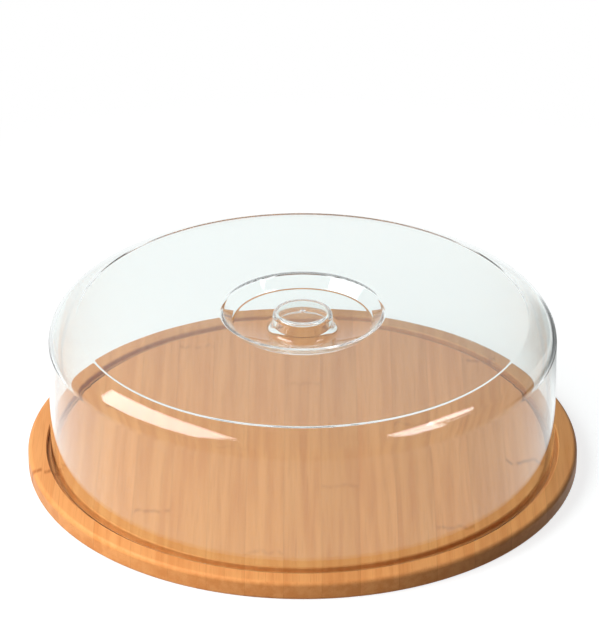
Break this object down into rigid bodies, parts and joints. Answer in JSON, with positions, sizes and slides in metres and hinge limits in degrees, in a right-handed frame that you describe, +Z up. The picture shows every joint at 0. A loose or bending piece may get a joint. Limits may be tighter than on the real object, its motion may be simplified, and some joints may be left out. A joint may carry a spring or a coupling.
{
  "type": "cake carrier",
  "caption": "Round bamboo serving board with a ring groove, and a clear moulded cover with a sunken grip knob that stands in the groove and lifts off to keep a cake or pastries fresh.",
  "frame": {"origin": "centre of the board's underside, on the surface that it stands on", "axes": "+Z up along the axis of the board and cover, +Y along the bamboo staves from front to back, +X to the right"},
  "size_m": [0.32, 0.32, 0.0967],
  "materials": {
    "bamboo": "caramel bamboo, sanded and oiled to a satin sheen",
    "clear_plastic": "polished clear injection moulding"
  },
  "bodies": {
    "board": {"bamboo_stave_01": "bamboo", "bamboo_stave_02": "bamboo", "bamboo_stave_03": "bamboo", "bamboo_stave_04": "bamboo", "bamboo_stave_05": "bamboo", "bamboo_stave_06": "bamboo", "bamboo_stave_07": "bamboo", "bamboo_stave_08": "bamboo", "bamboo_stave_09": "bamboo", "bamboo_stave_10": "bamboo", "bamboo_stave_11": "bamboo", "bamboo_stave_12": "bamboo", "bamboo_stave_13": "bamboo", "bamboo_stave_14": "bamboo", "bamboo_stave_15": "bamboo"},
    "cover": {"clear_cover": "clear_plastic"}
  },
  "joints": [
    {"name": "cover_lift", "type": "slide", "parent": "board", "child": "cover", "axis": [0, 0, 1], "range_m": [0, 0.15]}
  ]
}
